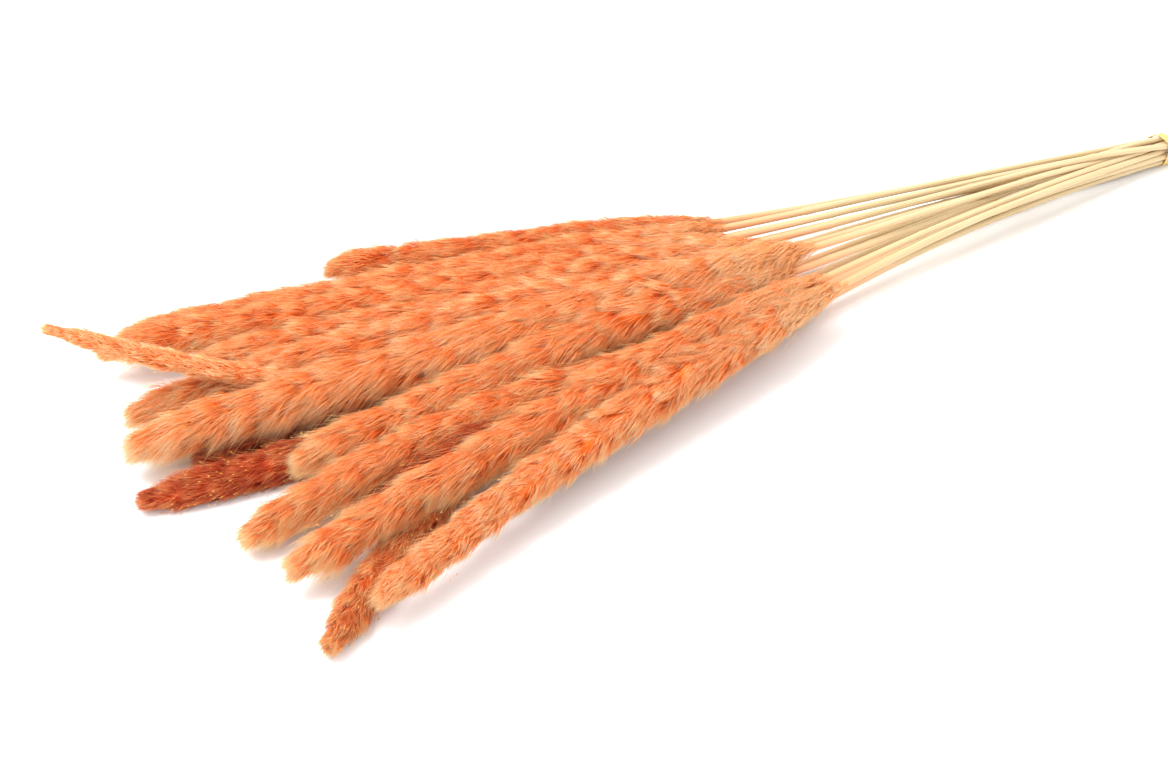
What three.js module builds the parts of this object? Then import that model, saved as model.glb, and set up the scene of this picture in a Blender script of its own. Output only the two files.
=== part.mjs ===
import * as THREE from "three";

// A bunch of dried miscanthus lying on a surface and tied near its cut ends.
// Millimetres, +Z up. The cut ends point to +X and the plumes fan out toward -X.

// Lengths along the bunch, measured from the middle of the tie.
const STEM_LENGTH = 325; // from the tie to where a usual plume starts
const PLUME_LENGTH = 370; // from the first hairs of a usual plume to its tip
const CUT_LENGTH = 13; // stem left bare behind the tie

// Thicknesses.
const STEM_RADIUS = 1.85; // at the cut end
const NECK_RADIUS = 2.3; // under the plume, where the last leaf sheath wraps the cane
const PLUME_RADIUS = 8; // packed body of a plume at its thickest
const SWELL_SHARE = 0.3; // first part of a plume, where it swells to its full thickness
const TIP_THINNING = 0.3; // how much of that it loses on the way to the tip
const PLUME_TIP_SHARE = 0.12; // last part of a plume, where it rounds off

// The heap.
const LAYER_RISE = 15; // from one layer of plumes to the next
const TIP_FALL = 0.4; // share of a layer's rise that is left at the tips
const TIP_CURVE = 110; // end of a plume that curls up or hooks aside
const CANE_RISE = 8; // how far the canes bow up off the surface on their way to the plumes
const CANE_SWAY = 5; // and how far they bow toward +Y
const BEND_START = 0.9; // share of the stem that stays straight before the plume swings it round
const BEND_EASE = 1.35; // above 1, so that the swing sets in gently
const SETTLE = 0.78; // height of a resting plume's centre, as a share of its radius

// The tie.
const TIE_WIDTH = 5;
const TIE_THICKNESS = 0.8;

// Clearances.
const STALK_GAP = 0.3; // between neighbouring stalks
const NECK_GAP = 0.3; // between a stem's top and its plume
const TIE_GAP = 0.3; // between the stems and the tie

// Fineness of the shapes.
const STATION_STEP = 28; // between the cross-sections of a stalk
const STEM_SIDES = 8;
const PLUME_SIDES = 10;
const TIE_SIDES = 24; // points round each stem in the tie's outline

// How the stalks find their places.
const PACKING_ROUNDS = 260; // drawn to their places, smoothed and pushed apart
const SPREADING_ROUNDS = 400; // then only pushed apart
const PULL = 0.12;
const STIFFNESS = 0.3;

const STRAW = new THREE.Color(0xf0d9a0);
const DYES = [0xf2a27c, 0xea8650, 0xe8703a, 0xc4481c].map((hex) => new THREE.Color(hex));

// One entry for each stalk. fan is the stem's direction from the tie and turn is how much further
// the plume swings round, both in degrees toward +Y. stem, plume and bulk are shares of the usual
// lengths and thickness. level is the layer in the heap, counted from the surface. lift curls the
// tip up and hook bends it toward +Y, both in millimetres. dye picks the shade.
const STALKS = [
  { fan: 8, turn: 18.5, stem: 1.02, plume: 0.6, bulk: 0.95, level: 1.1, dye: 1 },
  { fan: 5.1, turn: 12.5, stem: 1.05, plume: 0.95, level: 1.9, dye: 1 },
  { fan: 2.8, turn: 15.5, stem: 1.07, plume: 0.98, bulk: 1.05, level: 2, dye: 1 },
  { fan: 0, turn: 15.5, stem: 1.02, plume: 0.9, level: 2.1, dye: 0 },
  { fan: 2, turn: 1, stem: 0.98, plume: 1.18, bulk: 0.7, level: 0, lift: 76, hook: 56, dye: 0 },
  { fan: -4.4, turn: 12.5, stem: 0.96, plume: 1.12, bulk: 1.25, level: 2.3, dye: 0 },
  { fan: -4.7, turn: 6, stem: 1, plume: 0.88, level: 1.7, dye: 2 },
  { fan: -5.5, turn: 1.5, stem: 1.02, plume: 0.99, level: 1, dye: 1 },
  { fan: -6.6, turn: -3, stem: 0.98, plume: 1, bulk: 1.05, level: 1.8, dye: 1 },
  { fan: -7.7, turn: -6.5, stem: 0.96, plume: 0.95, bulk: 1.15, level: 1.8, hook: -14, dye: 1 },
  { fan: -4.3, turn: 1, stem: 1.02, plume: 0.98, bulk: 1.2, level: 0.4, hook: -112, dye: 2 },
  { fan: -4, turn: -11.5, stem: 0.95, plume: 0.56, bulk: 0.85, level: 0, dye: 0 },
  { fan: 2.4, turn: -10.5, stem: 1.02, plume: 1.1, bulk: 1.5, level: 0, hook: 52, dye: 3 },
  { fan: 0, turn: -11, stem: 1.06, plume: 0.78, level: 0, dye: 3 },
  { fan: 5, turn: -6.5, stem: 1.06, plume: 0.95, bulk: 1.2, level: 0.3, dye: 3 },
  { fan: 5.5, turn: 11, stem: 1.1, plume: 0.76, level: 0.7, dye: 2 },
  { fan: 9.9, turn: 8, stem: 1.05, plume: 0.74, level: 0, dye: 2 },
  { fan: -2.3, turn: 13.5, stem: 0.99, plume: 1.07, bulk: 1.1, level: 2, dye: 0 },
].map((grown) => ({ bulk: 1, lift: 0, hook: 0, ...grown }));

const clamp01 = (value) => THREE.MathUtils.clamp(value, 0, 1);
const tangent = (degrees) => Math.tan(THREE.MathUtils.degToRad(degrees));

for (const stalk of STALKS) {
  stalk.neck = STEM_LENGTH * stalk.stem;
  stalk.tip = stalk.neck + PLUME_LENGTH * stalk.plume;
}

// Cross-sections shared by every stalk, from behind the cut ends to past the furthest tip. Two of
// them are the edges of the tie, so that the stems run straight through it.
const furthestTip = Math.max(...STALKS.map((stalk) => stalk.tip));
const stations = [-CUT_LENGTH, -TIE_WIDTH / 2, TIE_WIDTH / 2];
while (stations.at(-1) < furthestTip) stations.push(stations.at(-1) + STATION_STEP);

function stemRadius(stalk, distance) {
  const share = clamp01((distance + CUT_LENGTH) / (stalk.neck + CUT_LENGTH));
  return THREE.MathUtils.lerp(STEM_RADIUS, NECK_RADIUS, share ** 2);
}

// A plume swells quickly from its neck, stays full, thins slowly and rounds off at the tip.
function plumeRadius(stalk, share) {
  const full = Math.sin((clamp01(share / SWELL_SHARE) * Math.PI) / 2);
  const swell = THREE.MathUtils.lerp(NECK_RADIUS, PLUME_RADIUS * stalk.bulk, full);
  const thinning = 1 - TIP_THINNING * clamp01((share - SWELL_SHARE) / (1 - SWELL_SHARE)) ** 1.5;
  const rounding = Math.sqrt(1 - clamp01((share - 1 + PLUME_TIP_SHARE) / PLUME_TIP_SHARE) ** 2);
  return swell * thinning * rounding;
}

function radiusAt(stalk, distance) {
  if (distance <= stalk.neck) return stemRadius(stalk, distance);
  const share = (distance - stalk.neck) / (stalk.tip - stalk.neck);
  return plumeRadius(stalk, Math.min(share, 1 - PLUME_TIP_SHARE));
}

// Where a stalk would lie if it had the heap to itself.
const tieCentre = TIE_THICKNESS + TIE_GAP + STEM_RADIUS * Math.sqrt(STALKS.length);
function wishedPlace(stalk, distance) {
  const along = Math.max(distance, 0);
  const bendFrom = stalk.neck * BEND_START;
  const bent = clamp01((along - bendFrom) / (stalk.tip - bendFrom));
  const tipShare = clamp01((along - stalk.tip + TIP_CURVE) / TIP_CURVE);
  const swing = (stalk.tip - stalk.neck) * tangent(stalk.turn) * bent ** BEND_EASE;
  const layer = stalk.level * LAYER_RISE * THREE.MathUtils.lerp(1, TIP_FALL, bent ** 2);
  const heapHeight = PLUME_RADIUS * SETTLE + layer;
  const tieHeight = tieCentre + (stalk.level - 1) * STEM_RADIUS;
  const outOfTie = clamp01(along / STEM_LENGTH);
  const bow = Math.sin(outOfTie * Math.PI);
  return {
    y: along * tangent(stalk.fan) + CANE_SWAY * bow + swing + stalk.hook * tipShare ** 2,
    z: THREE.MathUtils.lerp(tieHeight, heapHeight, outOfTie) + CANE_RISE * bow + stalk.lift * tipShare ** 2,
  };
}

for (const stalk of STALKS) {
  stalk.wish = stations.map((distance) => wishedPlace(stalk, distance));
  stalk.path = stalk.wish.map((place) => ({ ...place }));
  stalk.radii = stations.map((distance) => radiusAt(stalk, distance));
  stalk.last = stations.findIndex((distance) => distance >= stalk.tip);
}

// The lowest that a stalk's centre may lie: plumes settle a little, stems in the tie stand on it.
function floorAt(stalk, index) {
  const distance = stations[index];
  if (distance > stalk.neck) return stalk.radii[index] * SETTLE;
  const underTie = Math.abs(distance) <= TIE_WIDTH / 2 ? TIE_THICKNESS + TIE_GAP : 0;
  return stalk.radii[index] + underTie;
}

// A section across a slanting stalk is wider than the stalk itself.
function slopeAt(path, index, axis) {
  const before = Math.max(index - 1, 0);
  const after = Math.min(index + 1, path.length - 1);
  return (path[after][axis] - path[before][axis]) / (stations[after] - stations[before]);
}

// Between two neighbouring sections, each pair of stalks is pushed off where it comes closest.
function pushApart(index) {
  const here = STALKS.filter((stalk) => index < stalk.last);
  const reach = here.map(({ path, radii }) => {
    return [index, index + 1].map((at) => {
      return radii[at] * Math.hypot(1, slopeAt(path, at, "y"), slopeAt(path, at, "z"));
    });
  });
  for (let a = 0; a < here.length; a++) {
    for (let b = a + 1; b < here.length; b++) {
      const ends = [index, index + 1].map((at) => [here[a].path[at], here[b].path[at]]);
      const [from, to] = ends.map(([first, second]) => {
        return new THREE.Vector2(second.y - first.y, second.z - first.z);
      });
      const change = to.clone().sub(from);
      const share = clamp01(-from.dot(change) / Math.max(change.lengthSq(), 1e-6));
      const between = from.clone().addScaledVector(change, share);
      const [thickFrom, thickTo] = [0, 1].map((end) => reach[a][end] + reach[b][end]);
      const needed = STALK_GAP + THREE.MathUtils.lerp(thickFrom, thickTo, share);
      const missing = needed - between.length();
      if (missing <= 0) continue;
      const weights = [1 - share, share];
      const push = missing / 2 / (weights[0] ** 2 + weights[1] ** 2) / Math.max(between.length(), 0.1);
      ends.forEach(([first, second], end) => {
        const moveY = between.x * push * weights[end];
        const moveZ = between.y * push * weights[end];
        first.y -= moveY;
        first.z -= moveZ;
        second.y += moveY;
        second.z += moveZ;
      });
    }
  }
  for (const stalk of here) {
    stalk.path[index].z = Math.max(stalk.path[index].z, floorAt(stalk, index));
    stalk.path[index + 1].z = Math.max(stalk.path[index + 1].z, floorAt(stalk, index + 1));
  }
}

// The stalks are drawn to their places, kept smooth like springy canes, and pushed off each other.
for (let round = 0; round < PACKING_ROUNDS; round++) {
  const pull = PULL * (1 - round / PACKING_ROUNDS);
  for (const { path, wish, last } of STALKS) {
    for (let index = 0; index <= last; index++) {
      path[index].y += (wish[index].y - path[index].y) * pull;
      path[index].z += (wish[index].z - path[index].z) * pull;
    }
    for (let index = 1; index < last; index++) {
      const before = path[index - 1];
      const after = path[index + 1];
      const share = (stations[index] - stations[index - 1]) / (stations[index + 1] - stations[index - 1]);
      path[index].y += STIFFNESS * (THREE.MathUtils.lerp(before.y, after.y, share) - path[index].y);
      path[index].z += STIFFNESS * (THREE.MathUtils.lerp(before.z, after.z, share) - path[index].z);
    }
  }
  stations.slice(1).forEach((_, index) => pushApart(index));
}
for (let round = 0; round < SPREADING_ROUNDS; round++) {
  stations.slice(1).forEach((_, index) => pushApart(index));
}

// The stalk's centre at any distance, and how much its section widens there.
function centreAt(stalk, distance) {
  let index = 0;
  while (index < stations.length - 2 && stations[index + 1] < distance) index++;
  const share = (distance - stations[index]) / (stations[index + 1] - stations[index]);
  const from = stalk.path[index];
  const to = stalk.path[index + 1];
  const wideY = Math.hypot(1, (to.y - from.y) / (stations[index + 1] - stations[index]));
  const wideZ = Math.hypot(1, (to.z - from.z) / (stations[index + 1] - stations[index]));
  return {
    y: THREE.MathUtils.lerp(from.y, to.y, share),
    z: THREE.MathUtils.lerp(from.z, to.z, share),
    wideY,
    wideZ,
  };
}

// A turned solid stands on the Y axis: its height becomes the distance along the stalk.
function layAlong(geometry, stalk) {
  const position = geometry.getAttribute("position");
  for (let i = 0; i < position.count; i++) {
    const distance = position.getY(i);
    const centre = centreAt(stalk, distance);
    const y = centre.y + position.getX(i) * centre.wideY;
    const z = Math.max(0, centre.z + position.getZ(i) * centre.wideZ);
    position.setXYZ(i, -distance, y, z);
  }
  geometry.computeVertexNormals();
  return geometry;
}

function innerStations(from, to) {
  const margin = STATION_STEP * 0.15;
  return stations.filter((distance) => distance > from + margin && distance < to - margin);
}

function makeStem(stalk) {
  const rings = [-CUT_LENGTH, ...innerStations(-CUT_LENGTH, stalk.neck), stalk.neck];
  const profile = rings.map((distance) => new THREE.Vector2(stemRadius(stalk, distance), distance));
  profile.unshift(new THREE.Vector2(0, -CUT_LENGTH));
  profile.push(new THREE.Vector2(0, stalk.neck));
  return layAlong(new THREE.LatheGeometry(profile, STEM_SIDES), stalk);
}

function makePlume(stalk) {
  const start = stalk.neck + NECK_GAP;
  const length = stalk.tip - start;
  const rounded = [0.35, 0.7, 0.92].map((share) => stalk.tip - length * PLUME_TIP_SHARE * (1 - share));
  const full = innerStations(start, rounded[0]);
  const rings = [start, ...full, ...rounded];
  const profile = rings.map((distance) => {
    return new THREE.Vector2(plumeRadius(stalk, (distance - start) / length), distance);
  });
  profile.unshift(new THREE.Vector2(0, start));
  profile.push(new THREE.Vector2(0, stalk.tip));
  return layAlong(new THREE.LatheGeometry(profile, PLUME_SIDES), stalk);
}

// The outline of a band drawn tight round circles in the YZ plane, corner by corner, and pressed
// flat where it would sink below the lowest height.
function bandOutline(circles, extra, lowest) {
  const points = circles.flatMap(({ y, z, radius }) =>
    Array.from({ length: TIE_SIDES }, (_, i) => {
      const angle = (i / TIE_SIDES) * 2 * Math.PI;
      const height = Math.max(lowest, z + (radius + extra) * Math.sin(angle));
      return new THREE.Vector2(y + (radius + extra) * Math.cos(angle), height);
    }),
  );
  points.sort((a, b) => a.x - b.x || a.y - b.y);
  const half = (ordered) => {
    const kept = [];
    for (const point of ordered) {
      while (kept.length > 1) {
        const [a, b] = kept.slice(-2);
        if ((b.x - a.x) * (point.y - a.y) - (b.y - a.y) * (point.x - a.x) > 1e-6) break;
        kept.pop();
      }
      kept.push(point);
    }
    return kept.slice(0, -1);
  };
  return [...half(points), ...half(points.reverse())];
}

function makeTie() {
  const edges = [-TIE_WIDTH / 2, TIE_WIDTH / 2];
  const circles = STALKS.flatMap((stalk) =>
    edges.map((distance) => {
      const { y, z, wideY, wideZ } = centreAt(stalk, distance);
      return { y, z, radius: stemRadius(stalk, distance) * Math.max(wideY, wideZ) };
    }),
  );
  const shape = new THREE.Shape(bandOutline(circles, TIE_GAP + TIE_THICKNESS, 0));
  shape.holes.push(new THREE.Path(bandOutline(circles, TIE_GAP, TIE_THICKNESS)));
  const geometry = new THREE.ExtrudeGeometry(shape, { depth: TIE_WIDTH, bevelEnabled: false });
  geometry.translate(0, 0, -TIE_WIDTH / 2);
  // The outline's plane is turned from XY to YZ.
  geometry.applyMatrix4(new THREE.Matrix4().makeBasis(
    new THREE.Vector3(0, 1, 0),
    new THREE.Vector3(0, 0, 1),
    new THREE.Vector3(1, 0, 0),
  ));
  return geometry;
}

function material(color, roughness) {
  return new THREE.MeshStandardMaterial({ color, roughness, metalness: 0 });
}

const bundle = new THREE.Group();
STALKS.forEach((stalk, index) => {
  const number = String(index + 1).padStart(2, "0");
  const stem = new THREE.Mesh(makeStem(stalk), material(STRAW, 0.6));
  stem.name = `stem_${number}`;
  const plume = new THREE.Mesh(makePlume(stalk), material(DYES[stalk.dye], 0.95));
  plume.name = `plume_${number}`;
  bundle.add(stem, plume);
});
const tie = new THREE.Mesh(makeTie(), material(new THREE.Color(0xd9a928), 0.5));
tie.name = "elastic_tie";
bundle.add(tie);

// The frame's origin is under the middle of the whole bunch.
const middle = new THREE.Box3().setFromObject(bundle).getCenter(new THREE.Vector3());
bundle.position.set(-middle.x, -middle.y, 0);

export default bundle;
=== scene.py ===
"""A tied bunch of dried, dyed miscanthus. Each stalk follows its CAD solid: a ribbed cane with joints,
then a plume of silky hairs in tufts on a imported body. Metres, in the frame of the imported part."""
import math

import bpy
import numpy as np
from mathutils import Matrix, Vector


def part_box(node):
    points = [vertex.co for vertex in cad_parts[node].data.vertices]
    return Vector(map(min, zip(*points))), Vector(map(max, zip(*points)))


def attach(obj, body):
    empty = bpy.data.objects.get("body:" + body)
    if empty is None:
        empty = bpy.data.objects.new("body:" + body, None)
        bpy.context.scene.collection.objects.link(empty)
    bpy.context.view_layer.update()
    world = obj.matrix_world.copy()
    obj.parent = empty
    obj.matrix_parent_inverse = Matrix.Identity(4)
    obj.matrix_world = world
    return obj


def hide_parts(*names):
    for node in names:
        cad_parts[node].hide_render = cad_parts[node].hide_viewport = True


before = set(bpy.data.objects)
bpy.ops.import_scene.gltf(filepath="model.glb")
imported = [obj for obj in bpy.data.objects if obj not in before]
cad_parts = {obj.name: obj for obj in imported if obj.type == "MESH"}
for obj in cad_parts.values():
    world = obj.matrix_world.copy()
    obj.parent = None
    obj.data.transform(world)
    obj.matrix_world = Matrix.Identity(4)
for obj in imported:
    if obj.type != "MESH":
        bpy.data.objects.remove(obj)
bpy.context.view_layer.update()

# Sampling along a stalk.
CAD_STEM_SIDES = 8  # points round a section of a CAD stem
CAD_PLUME_SIDES = 10  # and of a CAD plume
RING_GAP = 0.0004  # CAD sections closer than this are one section
LINE_STEP = 0.003
SMOOTHING = 0.012

# Canes.
CANE_SIDES = 32
CANE_RIBS = 8
RIB_DEPTH = 0.035  # this and the two below are shares of the cane's radius
OVAL_DEPTH = 0.05
JOINT_SWELL = 0.16
JOINT_WIDTH = 0.0022
CANE_JOINTS = (0.17, 0.46, 0.78)  # shares of the cane's length
JOINT_SHIFT = 0.07  # how far a cane's joints may lie from those shares
PITH_SHARE = 0.6  # of the cane's radius, at the cut end
PITH_DEPTH = 0.0006
PITH_END = 0.02  # where the pith ends and the rind starts on the lengthwise scale

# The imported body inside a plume's hair.
BODY_POINTS = 18  # round a section
BODY_SHARE = 0.8  # of the CAD plume's radius
BODY_LUMPS = 0.07
# The body's dark root colour is painted shade of the depth inside the coat.
BODY_PAINTED_SHADE = 0.12  # dark (0) to pale (1), as on the hairs

# Hairs.
TUFTS_PER_METRE = 2400
HAIRS_PER_TUFT = 28
HAIR_THICKNESS = 0.00014
HAIR_MIDDLE = 0.45  # where a hair is thickest, as a share of its length
# Dark roots are partly painted shade deep in the coat, pale tips partly painted highlight, over the dye.
HAIR_SHADES = (0.0, 0.42, 1.0)  # dark (0) to pale (1) at a hair's root, middle and tip
STRAYS_PER_TUFT = 1
STRAY_LENGTH = 1.25  # this and the three below are against the other hairs
STRAY_SPREAD = 1.15
STRAY_THICKNESS = 0.7
STRAY_DYE = 0.6
ROOT_DEPTH = 0.72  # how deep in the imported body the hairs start, as a share of its radius
TUFT_SCATTER = 0.0022
THINNEST_WRAP = 0.003  # a tuft wraps round a neck as if it were at least this thick
NECK_FLUFF = 0.005  # the first hairs grow on the cane, this far below the plume
TUFT_GATHER = 0.45  # how far hair tips close up toward their tuft's tip
PRESSED = 0.7  # how much the hairs under a plume are laid back along it
LAST_ROOT = 0.985  # share of the plume's length where the last hairs grow
TIP_CLOSES = 0.93  # and where hairs start to close over the tip
TIP_RUN = 0.04
NECK_PALING = 0.42  # how much less dye the first hairs hold
SURFACE_CLEARANCE = 0.0004
GOLDEN_ANGLE = math.pi * (3 - math.sqrt(5))
GOLD = 0.97  # place on the dye scale kept for the golden husks

# Elastic tie.
TIE_TURNS = 4
TIE_BAND_THICKNESS = 0.0009
TIE_CORNERS = 96
TIE_SECTION_POINTS = 12
TIE_DRIFT = 0.12  # how far a turn wanders sideways, as a share of its width
TIE_FILL = 0.49  # half a turn's width, as a share of the room it has

# Camera and light.
CAMERA_AZIMUTH = -30
CAMERA_ELEVATION = 38
CAMERA_DISTANCE = 1.2
AIM_FROM_TIE = Vector((-0.482, -0.043, 0.008))
CAMERA_LENS = 63.8
CAMERA_SENSOR = 36

# How each plume was dyed and dried: dye runs from pale peach (0) through orange (0.5) to rust (0.9),
# hair is the usual hair length, spread how far the hairs stand off the axis in degrees, husks how many
# golden husks show per metre, sag how much the hair tips hang, and thinning how much shorter the hair
# gets toward the plume's tip.
PLUMES = {
    "01": dict(dye=0.46, hair=0.0190, spread=28, husks=100, sag=0.10),
    "02": dict(dye=0.40, hair=0.0205, spread=28, husks=100, sag=0.10),
    "03": dict(dye=0.40, hair=0.0205, spread=28, husks=100, sag=0.10),
    "04": dict(dye=0.32, hair=0.0210, spread=29, husks=60, sag=0.12),
    "05": dict(dye=0.24, hair=0.0190, spread=27, husks=60, sag=0.05, thinning=0.5),
    "06": dict(dye=0.18, hair=0.0250, spread=34, husks=200, sag=0.26),
    "07": dict(dye=0.30, hair=0.0225, spread=31, husks=350, sag=0.15),
    "08": dict(dye=0.36, hair=0.0215, spread=30, husks=350, sag=0.15),
    "09": dict(dye=0.32, hair=0.0215, spread=30, husks=350, sag=0.15),
    "10": dict(dye=0.24, hair=0.0200, spread=31, husks=100, sag=0.10, thinning=0.3),
    "11": dict(dye=0.56, hair=0.0150, spread=31, husks=1800, sag=0.05),
    "12": dict(dye=0.40, hair=0.0165, spread=28, husks=100, sag=0.10),
    "13": dict(dye=0.84, hair=0.0130, spread=30, husks=1800, sag=0.05),
    # Plumes 14 and 15 lie low under the others; their dark rust dye is painted shade for the gaps there.
    "14": dict(dye=0.82, hair=0.0150, spread=30, husks=500, sag=0.10),
    "15": dict(dye=0.84, hair=0.0160, spread=30, husks=400, sag=0.10),
    "16": dict(dye=0.52, hair=0.0180, spread=29, husks=100, sag=0.10),
    "17": dict(dye=0.52, hair=0.0180, spread=29, husks=100, sag=0.10),
    "18": dict(dye=0.24, hair=0.0215, spread=30, husks=100, sag=0.15),
}


def unit(vectors):
    return vectors / np.maximum(np.linalg.norm(vectors, axis=-1, keepdims=True), 1e-12)


class StalkLine:
    """A smooth centre line and radius through the cross-sections of a CAD solid, from the cut ends on."""

    def __init__(self, node, sides):
        points = np.array([vertex.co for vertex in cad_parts[node].data.vertices])
        points = points[np.argsort(-points[:, 0])]
        breaks = np.where(np.diff(-points[:, 0]) > RING_GAP)[0] + 1
        rings = np.split(points, breaks)
        middle_y = np.array([(ring[:, 1].min() + ring[:, 1].max()) / 2 for ring in rings])
        half_y = np.array([(ring[:, 1].max() - ring[:, 1].min()) / 2 for ring in rings])
        half_y /= 1.0 if sides % 4 == 0 else math.cos(math.pi / sides)
        x = np.array([ring[:, 0].mean() for ring in rings])
        slant = np.hypot(1, np.gradient(middle_y, x))
        radius = half_y / slant
        top = np.array([ring[:, 2].max() for ring in rings])
        rise = np.hypot(1, np.gradient(top, x))
        centres = np.stack([x, middle_y, top - radius * rise], axis=1)
        reach = np.concatenate([[0], np.cumsum(np.linalg.norm(np.diff(centres, axis=0), axis=1))])
        self.length = reach[-1]
        count = max(8, int(self.length / LINE_STEP))
        self.at = np.linspace(0, self.length, count)
        self.centre = np.stack([np.interp(self.at, reach, centres[:, k]) for k in range(3)], axis=1)
        self.radius = np.interp(self.at, reach, radius)
        self.smooth()
        self.tangent = unit(np.gradient(self.centre, self.at, axis=0))
        self.side = unit(np.cross([0, 0, 1], self.tangent))
        self.up = np.cross(self.tangent, self.side)

    def smooth(self):
        """Rounds the corners of the line. The two ends stay where they are."""
        ends = self.centre[[0, -1]].copy()
        for _ in range(int((SMOOTHING / LINE_STEP) ** 2)):
            inner = (self.centre[:-2] + self.centre[2:]) / 2
            self.centre[1:-1] += 0.5 * (inner - self.centre[1:-1])
        self.centre[[0, -1]] = ends

    def sample(self, distance):
        """Centre, radius, tangent, side and up at each distance along the line."""
        def along(values):
            if values.ndim == 1:
                return np.interp(distance, self.at, values)
            return np.stack([np.interp(distance, self.at, column) for column in values.T], axis=1)
        tangent = along(self.tangent)
        centre = along(self.centre) + tangent * np.minimum(distance, 0)[:, None]
        return centre, along(self.radius), tangent, along(self.side), along(self.up)


def ripples(rng, slowest=60, fastest=330, waves=7):
    """A smooth random pattern over a stalk, from distance along it and angle round it, about -1 to 1."""
    pace = rng.uniform(slowest, fastest, waves)
    turns = rng.integers(-3, 4, waves)
    start = rng.uniform(0, 2 * math.pi, waves)
    def pattern(distance, angle):
        phase = np.outer(distance, pace) + np.outer(angle, turns) + start
        return np.sin(phase).sum(axis=1) / math.sqrt(waves)
    return pattern


def triangle_mesh(name, vertices, triangles, corner_uv, material, slot, node):
    """A smooth-shaded object of triangles that rides on the bunch in place of a CAD node."""
    mesh = bpy.data.meshes.new(name)
    mesh.vertices.add(len(vertices))
    mesh.vertices.foreach_set("co", vertices.astype(np.float32).ravel())
    mesh.loops.add(triangles.size)
    mesh.loops.foreach_set("vertex_index", triangles.astype(np.int32).ravel())
    mesh.polygons.add(len(triangles))
    mesh.polygons.foreach_set("loop_start", np.arange(0, triangles.size, 3, dtype=np.int32))
    mesh.polygons.foreach_set("use_smooth", np.ones(len(triangles), bool))
    layer = mesh.uv_layers.new(name="OFBake")
    layer.data.foreach_set("uv", corner_uv.astype(np.float32).ravel())
    mesh.materials.append(material)
    mesh.update(calc_edges=True)
    piece = bpy.data.objects.new(name, mesh)
    bpy.context.scene.collection.objects.link(piece)
    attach(piece, "root")
    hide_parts(node)
    return piece


def tube(centres, side, up, radii, vertex_uv):
    """Triangles of a closed tube: radii has a row for each section and a column for each point round it."""
    sections, round_count = radii.shape
    angle = np.arange(round_count) / round_count * 2 * math.pi
    ring = side[:, None] * np.cos(angle)[None, :, None] + up[:, None] * np.sin(angle)[None, :, None]
    vertices = (centres[:, None] + ring * radii[:, :, None]).reshape(-1, 3)
    row, column = np.meshgrid(np.arange(sections - 1), np.arange(round_count), indexing="ij")
    a = (row * round_count + column).ravel()
    b = (row * round_count + (column + 1) % round_count).ravel()
    walls = np.concatenate([
        np.stack([a, b, b + round_count], axis=1),
        np.stack([a, b + round_count, a + round_count], axis=1),
    ])
    first, last = len(vertices), len(vertices) + 1
    vertices = np.concatenate([vertices, centres[[0, -1]]])
    around = np.arange(round_count)
    beyond = (around + 1) % round_count
    base = (sections - 1) * round_count
    caps = np.concatenate([
        np.stack([np.full(round_count, first), beyond, around], axis=1),
        np.stack([np.full(round_count, last), base + around, base + beyond], axis=1),
    ])
    triangles = np.concatenate([walls, caps])
    u = np.tile(angle / (2 * math.pi), sections)
    v = np.repeat(vertex_uv, round_count)
    u = np.concatenate([u, [0.5, 0.5]])
    v = np.concatenate([v, vertex_uv[[0, -1]]])
    corner_uv = np.stack([u[triangles], v[triangles]], axis=2)
    # The last strip round the tube runs up to u = 1 and not back to 0.
    wraps = (corner_uv[:, :, 0].max(axis=1) - corner_uv[:, :, 0].min(axis=1)) > 0.5
    low = corner_uv[:, :, 0] < 0.5
    corner_uv[:, :, 0] = np.where(wraps[:, None] & low, corner_uv[:, :, 0] + 1, corner_uv[:, :, 0])
    corner_uv[:, :, 0] /= 1 + 1 / round_count
    return vertices, triangles, corner_uv.reshape(-1, 2)


def spindles(root, middle, tip, thickness, dye):
    """Closed slender hairs, pointed at both ends: five vertices and six triangles each."""
    count = len(root)
    along = unit(tip - root)
    across = unit(np.cross(along, np.where(np.abs(along[:, 2:3]) > 0.9, [[1.0, 0, 0]], [[0, 0, 1.0]])))
    upward = np.cross(along, across)
    corners = []
    for turn in (0, 2 * math.pi / 3, 4 * math.pi / 3):
        spoke = across * math.cos(turn) + upward * math.sin(turn)
        corners.append(middle + spoke * thickness[:, None])
    vertices = np.stack([root, *corners, tip], axis=1).reshape(-1, 3)
    vertices[:, 2] = np.maximum(vertices[:, 2], SURFACE_CLEARANCE)
    pattern = np.array([[0, 2, 1], [0, 3, 2], [0, 1, 3], [4, 1, 2], [4, 2, 3], [4, 3, 1]])
    triangles = (np.arange(count)[:, None, None] * 5 + pattern[None]).reshape(-1, 3)
    # Place from root to tip: the material paints shade toward the root and highlight toward the tip.
    at_root, at_middle, at_tip = HAIR_SHADES
    shade = np.array([at_root, at_middle, at_middle, at_middle, at_tip])
    v = np.tile(shade[pattern].reshape(-1), count)
    u = np.repeat(dye, pattern.size)
    return vertices, triangles, np.stack([u, v], axis=1)


def joined(parts):
    """Several (vertices, triangles, corner_uv) sets as one."""
    offset = 0
    triangles = []
    for vertices, faces, _ in parts:
        triangles.append(faces + offset)
        offset += len(vertices)
    return (
        np.concatenate([part[0] for part in parts]),
        np.concatenate(triangles),
        np.concatenate([part[2] for part in parts]),
    )


def varied(rng, values, jitter):
    return values + rng.normal(0, jitter, len(values))


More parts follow.
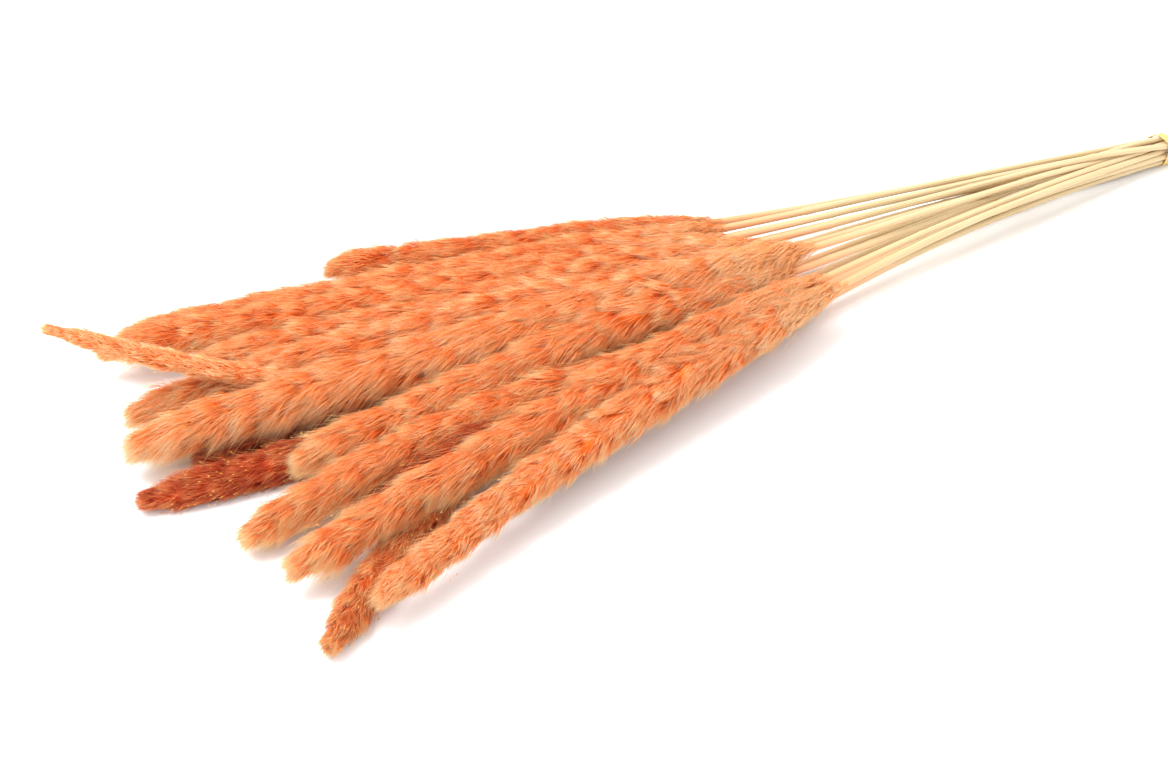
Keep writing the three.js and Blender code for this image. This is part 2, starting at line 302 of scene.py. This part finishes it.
def tufts_on(line, rng):
    """Where the tufts of hair sit along and round a plume, and how each differs from the usual."""
    count = int(TUFTS_PER_METRE * line.length)
    grown = line.length + NECK_FLUFF
    at = (np.arange(count) + rng.random(count)) / count * grown - NECK_FLUFF
    at *= np.where(at < 0, rng.uniform(0.2, 3.0, count), 1)
    angle = varied(rng, np.arange(count) * GOLDEN_ANGLE, 0.3)
    lift, stain = (ripples(rng, slowest=150, fastest=520)(at, angle) for _ in range(2))
    swirl, reach = (ripples(rng)(at, angle) for _ in range(2))
    return {
        "at": at,
        "angle": angle,
        "lift": varied(rng, 0.2 * lift, 0.06),
        "turn": varied(rng, 0.24 * swirl, 0.08),
        "length": varied(rng, 1 + 0.12 * reach, 0.06),
        "dye": varied(rng, 0.11 * stain, 0.04),
    }


def hairs_on(line, rng, style, per_tuft, length_scale=1.0, spread_scale=1.0):
    """Roots, middles, tips and dye of hairs that lean toward the plume's tip and gather in tufts."""
    tufts = tufts_on(line, rng)
    tuft = np.repeat(np.arange(len(tufts["at"])), per_tuft)
    count = len(tuft)
    body_radius = np.maximum(line.sample(tufts["at"])[1], THINNEST_WRAP)
    at = varied(rng, tufts["at"][tuft], TUFT_SCATTER)
    at = np.minimum(at, 2 * LAST_ROOT * line.length - at)
    angle = tufts["angle"][tuft] + rng.normal(0, 1, count) * TUFT_SCATTER / body_radius[tuft]
    centre, radius, tangent, side, up = line.sample(at)
    outward = side * np.cos(angle)[:, None] + up * np.sin(angle)[:, None]
    around = up * np.cos(angle)[:, None] - side * np.sin(angle)[:, None]

    share = at / line.length
    opening = np.clip(0.85 + share / 0.2, 0.65, 1)
    laid = 1 - PRESSED * np.clip(-outward[:, 2], 0, 1)
    spread = math.radians(style["spread"]) * spread_scale * opening * laid
    spread = varied(rng, spread * (1 + tufts["lift"][tuft]), 0.085)
    # Over the rounded tip some hairs grow nearer the axis and straighter, and close it like a brush.
    at_tip = np.clip((share - TIP_CLOSES) / TIP_RUN, 0, 1)
    off_axis = 1 - at_tip * (1 - np.sqrt(rng.random(count)))
    spread *= off_axis
    turn = varied(rng, tufts["turn"][tuft], 0.08)
    length = style["hair"] * length_scale * tufts["length"][tuft] * rng.uniform(0.7, 1.12, count)
    length *= np.clip(0.85 + share / 0.12, 0.6, 1) * (1 - 0.25 * at_tip)
    length *= 1 - style.get("thinning", 0) * np.clip((share - 0.4) / 0.35, 0, 1)

    root = centre + outward * (radius * ROOT_DEPTH * off_axis)[:, None]
    heading = tangent * np.cos(spread)[:, None] + outward * np.sin(spread)[:, None]
    heading = unit(heading + around * turn[:, None])
    drawn_in = heading - outward * 0.08 * off_axis[:, None]
    hanging = drawn_in - np.array([0, 0, style["sag"]])
    tip = root + unit(hanging) * length[:, None]
    mean = np.stack([np.bincount(tuft, tip[:, k]) / per_tuft for k in range(3)], axis=1)
    tip += (mean[tuft] - tip) * (TUFT_GATHER * rng.uniform(0.2, 1.5, count))[:, None]
    middle = root + (heading + 0.12 * outward * off_axis[:, None]) * (length * HAIR_MIDDLE)[:, None]

    dye = varied(rng, style["dye"] + tufts["dye"][tuft], 0.04)
    dye -= NECK_PALING * np.clip(1 - share / 0.2, 0, 1)
    return root, middle, tip, np.clip(dye, 0.01, 0.92)


def husks_on(line, rng, style):
    """Small golden husks among the hairs."""
    count = int(style["husks"] * line.length)
    at = rng.uniform(0.08, 0.97, count) * line.length
    centre, radius, tangent, side, up = line.sample(at)
    angle = rng.uniform(0, 2 * math.pi, count)
    outward = side * np.cos(angle)[:, None] + up * np.sin(angle)[:, None]
    depth = radius * ROOT_DEPTH + style["hair"] * rng.uniform(0.2, 0.55, count)
    root = centre + outward * depth[:, None]
    heading = unit(tangent + outward * rng.uniform(0.2, 0.7, count)[:, None])
    length = rng.uniform(0.0016, 0.003, count)[:, None]
    thickness = rng.uniform(0.00025, 0.0004, count)
    middle = root + heading * length * 0.5
    tip = root + heading * length
    return spindles(root, middle, tip, thickness, np.full(count, GOLD))


def packed_body(line, rng, dye):
    """The lumpy inner body of a plume, which shows only as the dark depth between its hairs: its dark root
    colour is painted shade.
    """
    swell = ripples(rng)
    rows = np.arange(0, len(line.at), 2)
    angles = np.arange(BODY_POINTS) / BODY_POINTS * 2 * math.pi
    lumps = np.stack([swell(line.at[rows], np.full(len(rows), angle)) for angle in angles], axis=1)
    radii = line.radius[rows][:, None] * (BODY_SHARE + BODY_LUMPS * lumps)
    # Painted shade: the body takes the hairs' dark root colour.
    shade = np.full(len(rows), BODY_PAINTED_SHADE)
    vertices, triangles, corner_uv = tube(line.centre[rows], line.side[rows], line.up[rows], radii, shade)
    vertices[:, 2] = np.maximum(vertices[:, 2], SURFACE_CLEARANCE)
    corner_uv[:, 0] = dye
    return vertices, triangles, corner_uv


def make_plume(number, style, material):
    rng = np.random.default_rng(100 + int(number))
    line = StalkLine(f"plume_{number}", CAD_PLUME_SIDES)
    body = packed_body(line, rng, style["dye"])

    root, middle, tip, dye = hairs_on(line, rng, style, HAIRS_PER_TUFT)
    thickness = HAIR_THICKNESS * rng.uniform(0.8, 1.25, len(root))
    coat = spindles(root, middle, tip, thickness, dye)

    root, middle, tip, dye = hairs_on(line, rng, style, STRAYS_PER_TUFT, STRAY_LENGTH, STRAY_SPREAD)
    thickness = np.full(len(root), HAIR_THICKNESS * STRAY_THICKNESS)
    strays = spindles(root, middle, tip, thickness, dye * STRAY_DYE)

    parts = joined([body, coat, strays, husks_on(line, rng, style)])
    return triangle_mesh(f"plume_{number}_hair", *parts, material, "plume", f"plume_{number}")


def make_cane(number, material):
    rng = np.random.default_rng(300 + int(number))
    line = StalkLine(f"stem_{number}", CAD_STEM_SIDES)
    share = line.at / line.length
    radii = np.repeat(line.radius[:, None], CANE_SIDES, axis=1)
    angle = np.arange(CANE_SIDES) / CANE_SIDES * 2 * math.pi
    oval = 1 + OVAL_DEPTH * np.cos(2 * angle + rng.uniform(0, math.pi))
    ribbed = 1 + RIB_DEPTH * np.cos(CANE_RIBS * angle)
    radii *= (oval * ribbed)[None, :]
    shift = rng.uniform(-JOINT_SHIFT, JOINT_SHIFT)
    for joint in CANE_JOINTS:
        away = (share - joint - shift) * line.length / JOINT_WIDTH
        radii *= (1 + JOINT_SWELL * np.exp(-(away**2)))[:, None]
    # The cut end comes first: a sunk disc of pith inside a firm rind.
    pith = radii[:1] * PITH_SHARE
    radii = np.concatenate([pith, pith, radii])
    sunk = line.centre[:1] + line.tangent[:1] * PITH_DEPTH
    centres = np.concatenate([sunk, line.centre[:1], line.centre])
    side = np.concatenate([line.side[:1], line.side[:1], line.side])
    up = np.concatenate([line.up[:1], line.up[:1], line.up])
    along = np.concatenate([[0, 0], PITH_END + (1 - PITH_END) * share])
    parts = tube(centres, side, up, radii, along)
    parts[0][:, 2] = np.maximum(parts[0][:, 2], 0)
    return triangle_mesh(f"stem_{number}_cane", *parts, material, "stem", f"stem_{number}")


def tie_outline():
    """Corners of the tie's outer outline in the YZ plane, evenly spread by angle round its middle."""
    points = np.array([vertex.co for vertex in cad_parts["elastic_tie"].data.vertices])
    middle = (points.min(axis=0) + points.max(axis=0)) / 2
    flat = points[:, 1:] - middle[1:]
    angle = np.arange(TIE_CORNERS) / TIE_CORNERS * 2 * math.pi - math.pi
    normal = np.stack([np.cos(angle), np.sin(angle)], axis=1)
    along = np.stack([-np.sin(angle), np.cos(angle)], axis=1)
    # How far a flat ruler can come in from each side, rounded a little.
    outer = (normal @ flat.T).max(axis=1)
    for _ in range(3):
        outer = (np.roll(outer, 1) + 2 * outer + np.roll(outer, -1)) / 4
    slope = (np.roll(outer, -1) - np.roll(outer, 1)) / (2 * (angle[1] - angle[0]))
    corners = normal * outer[:, None] + along * slope[:, None]
    return middle, corners, normal


def closed_band_triangles(rows, columns):
    """Triangles of a ring of sections that meets itself."""
    row, column = np.meshgrid(np.arange(rows), np.arange(columns), indexing="ij")
    here = row * columns
    following = ((row + 1) % rows) * columns
    beside = (column + 1) % columns
    a = (here + column).ravel()
    b = (here + beside).ravel()
    c = (following + beside).ravel()
    d = (following + column).ravel()
    return np.concatenate([np.stack([a, b, c], axis=1), np.stack([a, c, d], axis=1)])


def rounded(values, power):
    """Presses a circle's sines or cosines outward, toward a rounded box."""
    return np.sign(values) * np.abs(values) ** power


def make_tie(material):
    rng = np.random.default_rng(7)
    low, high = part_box("elastic_tie")
    middle, corners, normal = tie_outline()
    band = (high.x - low.x) / TIE_TURNS
    inset = TIE_BAND_THICKNESS / 2
    triangles = closed_band_triangles(TIE_CORNERS, TIE_SECTION_POINTS)
    round_tie = np.arange(TIE_CORNERS) / TIE_CORNERS
    round_section = np.arange(TIE_SECTION_POINTS) / TIE_SECTION_POINTS
    across = rounded(np.cos(round_section * 2 * math.pi), 0.5) * band * TIE_FILL
    outward = rounded(np.sin(round_section * 2 * math.pi), 0.7) * inset
    spoke = np.column_stack([np.zeros(TIE_CORNERS), normal])
    parts = []
    for turn in range(TIE_TURNS):
        drift = np.sin(round_tie * 2 * math.pi + rng.uniform(0, 6)) * band * TIE_DRIFT
        x = low.x + band * (turn + 0.5) + drift
        centres = np.column_stack([x, (corners - normal * inset) + middle[1:]])
        ring = centres[:, None] + across[None, :, None] * np.array([1.0, 0, 0])
        ring = ring + outward[None, :, None] * spoke[:, None]
        vertices = ring.reshape(-1, 3)
        vertices[:, 2] = np.maximum(vertices[:, 2], 0.0)
        u = np.repeat(round_tie, TIE_SECTION_POINTS)
        v = np.tile((turn + round_section) / TIE_TURNS, TIE_CORNERS)
        corner_uv = np.stack([u[triangles], v[triangles]], axis=2).reshape(-1, 2)
        parts.append((vertices, triangles, corner_uv))
    return triangle_mesh("tie_turns", *joined(parts), material, "tie", "elastic_tie")


def new_material(name):
    material = bpy.data.materials.new(name)
    material.use_nodes = True
    nodes = material.node_tree.nodes
    return material, nodes, material.node_tree.links, nodes["Principled BSDF"]


def ramp(nodes, stops, interpolation="LINEAR"):
    node = nodes.new("ShaderNodeValToRGB")
    node.color_ramp.interpolation = interpolation
    elements = node.color_ramp.elements
    while len(elements) < len(stops):
        elements.new(0.5)
    for element, (position, color) in zip(elements, stops):
        element.position = position
        element.color = (*color, 1)
    return node


def drawn_out_grain():
    """A node group: grain drawn out along a piece, from how fine it is around and along it."""
    group = bpy.data.node_groups.new("drawn_out_grain", "ShaderNodeTree")
    for name in ("Around", "Along"):
        group.interface.new_socket(name, in_out="INPUT", socket_type="NodeSocketFloat")
    group.interface.new_socket("Grain", in_out="OUTPUT", socket_type="NodeSocketFloat")
    nodes, links = group.nodes, group.links
    given = nodes.new("NodeGroupInput")
    result = nodes.new("NodeGroupOutput")
    place = nodes.new("ShaderNodeUVMap")
    place.uv_map = "OFBake"
    scale = nodes.new("ShaderNodeCombineXYZ")
    links.new(given.outputs["Around"], scale.inputs["X"])
    links.new(given.outputs["Along"], scale.inputs["Y"])
    stretch = nodes.new("ShaderNodeVectorMath")
    stretch.operation = "MULTIPLY"
    links.new(place.outputs["UV"], stretch.inputs[0])
    links.new(scale.outputs["Vector"], stretch.inputs[1])
    noise = nodes.new("ShaderNodeTexNoise")
    noise.inputs["Scale"].default_value = 1
    noise.inputs["Detail"].default_value = 4
    links.new(stretch.outputs["Vector"], noise.inputs["Vector"])
    links.new(noise.outputs["Fac"], result.inputs["Grain"])
    return group


def grain(nodes, group, around, along):
    node = nodes.new("ShaderNodeGroup")
    node.node_tree = group
    node.inputs["Around"].default_value = around
    node.inputs["Along"].default_value = along
    return node


def plume_material():
    """Dyed hair: u picks the dye, v runs from the dark root to the pale tip; the darker, redder roots are
    partly painted shade deep in the coat and the pale tips partly painted highlight.
    """
    material, nodes, links, shader = new_material("dyed_plume_hair")
    place = nodes.new("ShaderNodeUVMap")
    place.uv_map = "OFBake"
    split = nodes.new("ShaderNodeSeparateXYZ")
    links.new(place.outputs["UV"], split.inputs["Vector"])
    # Root colours: the dye, darker and redder in part as painted shade deep in the coat.
    deep = ramp(nodes, [
        (0.0, (0.99, 0.42, 0.13)),
        (0.14, (0.98, 0.235, 0.018)),
        (0.45, (0.96, 0.155, 0.006)),
        (0.92, (0.40, 0.026, 0.005)),
        (0.95, (0.90, 0.42, 0.08)),
    ])
    # Tip colours: the dye, paler in part as painted highlight on the outside of the coat.
    pale = ramp(nodes, [
        (0.0, (1.0, 0.87, 0.56)),
        (0.45, (1.0, 0.72, 0.31)),
        (0.92, (0.64, 0.09, 0.018)),
        (0.95, (0.98, 0.66, 0.25)),
    ])
    ease = ramp(nodes, [(0.3, (0, 0, 0)), (1.0, (1, 1, 1))], "EASE")
    blend = nodes.new("ShaderNodeMix")
    blend.data_type = "RGBA"
    links.new(split.outputs["X"], deep.inputs["Fac"])
    links.new(split.outputs["X"], pale.inputs["Fac"])
    links.new(split.outputs["Y"], ease.inputs["Fac"])
    links.new(ease.outputs["Color"], blend.inputs["Factor"])
    links.new(deep.outputs["Color"], blend.inputs["A"])
    links.new(pale.outputs["Color"], blend.inputs["B"])
    links.new(blend.outputs["Result"], shader.inputs["Base Color"])
    shader.inputs["Roughness"].default_value = 0.58
    shader.inputs["Specular IOR Level"].default_value = 0.2
    shader.inputs["Sheen Weight"].default_value = 0.08
    shader.inputs["Sheen Tint"].default_value = (1.0, 0.75, 0.6, 1)
    return material


def cane_material(grain_group):
    """Dry straw: fine lengthwise ribs, tan streaks, and dye that has run down from the plume."""
    material, nodes, links, shader = new_material("dry_straw_cane")
    place = nodes.new("ShaderNodeUVMap")
    place.uv_map = "OFBake"
    split = nodes.new("ShaderNodeSeparateXYZ")
    links.new(place.outputs["UV"], split.inputs["Vector"])
    streaks = grain(nodes, grain_group, 34, 5)
    straw = ramp(nodes, [
        (0.3, (0.46, 0.30, 0.13)),
        (0.5, (0.62, 0.47, 0.26)),
        (0.7, (0.71, 0.57, 0.35)),
    ])
    links.new(streaks.outputs["Grain"], straw.inputs["Fac"])
    dyed = ramp(nodes, [(0.72, (0, 0, 0)), (1.0, (0.75, 0.75, 0.75))], "EASE")
    links.new(split.outputs["Y"], dyed.inputs["Fac"])
    blend = nodes.new("ShaderNodeMix")
    blend.data_type = "RGBA"
    blend.inputs["B"].default_value = (0.80, 0.32, 0.13, 1)
    links.new(dyed.outputs["Color"], blend.inputs["Factor"])
    links.new(straw.outputs["Color"], blend.inputs["A"])
    at_cut = ramp(nodes, [(0.006, (1, 1, 1)), (0.019, (0, 0, 0))])
    links.new(split.outputs["Y"], at_cut.inputs["Fac"])
    pith = nodes.new("ShaderNodeMix")
    pith.data_type = "RGBA"
    pith.inputs["B"].default_value = (0.80, 0.71, 0.50, 1)
    links.new(at_cut.outputs["Color"], pith.inputs["Factor"])
    links.new(blend.outputs["Result"], pith.inputs["A"])
    links.new(pith.outputs["Result"], shader.inputs["Base Color"])
    bump = nodes.new("ShaderNodeBump")
    bump.inputs["Strength"].default_value = 0.25
    bump.inputs["Distance"].default_value = 0.0004
    links.new(streaks.outputs["Grain"], bump.inputs["Height"])
    links.new(bump.outputs["Normal"], shader.inputs["Normal"])
    shader.inputs["Roughness"].default_value = 0.45
    return material


def tie_material(grain_group):
    """Elastic with a golden mottle and a fine grain along its turns."""
    material, nodes, links, shader = new_material("yellow_elastic")
    mottle = grain(nodes, grain_group, 40, 30)
    color = ramp(nodes, [(0.3, (0.58, 0.36, 0.09)), (0.7, (0.78, 0.55, 0.20))])
    links.new(mottle.outputs["Grain"], color.inputs["Fac"])
    links.new(color.outputs["Color"], shader.inputs["Base Color"])
    fine = grain(nodes, grain_group, 12, 160)
    bump = nodes.new("ShaderNodeBump")
    bump.inputs["Strength"].default_value = 0.3
    bump.inputs["Distance"].default_value = 0.0002
    links.new(fine.outputs["Grain"], bump.inputs["Height"])
    links.new(bump.outputs["Normal"], shader.inputs["Normal"])
    shader.inputs["Roughness"].default_value = 0.42
    return material


def make_floor():
    bpy.ops.mesh.primitive_plane_add(size=12, location=(0, 0, 0))
    floor = bpy.context.object
    floor.name = "studio_floor"
    material, _, _, shader = new_material("pale_paper")
    shader.inputs["Base Color"].default_value = (0.93, 0.93, 0.93, 1)
    shader.inputs["Roughness"].default_value = 0.9
    shader.inputs["Specular IOR Level"].default_value = 0.1
    floor.data.materials.append(material)


def add_softbox(name, place, aim, size, power):
    light = bpy.data.lights.new(name, "AREA")
    light.shape = "SQUARE"
    light.size = size
    light.energy = power
    lamp = bpy.data.objects.new(name, light)
    lamp.location = place
    lamp.rotation_euler = (Vector(aim) - Vector(place)).to_track_quat("-Z", "Y").to_euler()
    bpy.context.scene.collection.objects.link(lamp)


def make_studio():
    scene = bpy.context.scene
    world = bpy.data.worlds.new("studio_air")
    world.use_nodes = True
    world.node_tree.nodes["Background"].inputs["Color"].default_value = (1, 1, 1, 1)
    world.node_tree.nodes["Background"].inputs["Strength"].default_value = 1.5
    scene.world = world
    scene.view_settings.view_transform = "Standard"
    add_softbox("key_softbox", place=(-0.9, 0.5, 1.8), aim=(-0.1, 0, 0), size=1.2, power=45)
    make_floor()


def make_camera():
    tie_low, tie_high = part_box("elastic_tie")
    aim = (tie_low + tie_high) / 2 + AIM_FROM_TIE
    azimuth, elevation = math.radians(CAMERA_AZIMUTH), math.radians(CAMERA_ELEVATION)
    back = Vector((
        math.sin(azimuth) * math.cos(elevation),
        -math.cos(azimuth) * math.cos(elevation),
        math.sin(elevation),
    ))
    lens = bpy.data.cameras.new("camera")
    lens.lens = CAMERA_LENS
    lens.sensor_width = CAMERA_SENSOR
    camera = bpy.data.objects.new("camera", lens)
    camera.location = aim + back * CAMERA_DISTANCE
    camera.rotation_euler = (-back).to_track_quat("-Z", "Y").to_euler()
    bpy.context.scene.collection.objects.link(camera)
    bpy.context.scene.camera = camera


make_camera()
make_studio()
hair_finish = plume_material()
fibre_grain = drawn_out_grain()
straw_finish = cane_material(fibre_grain)
for plume_number, plume_style in PLUMES.items():
    make_plume(plume_number, plume_style, hair_finish)
    make_cane(plume_number, straw_finish)
make_tie(tie_material(fibre_grain))
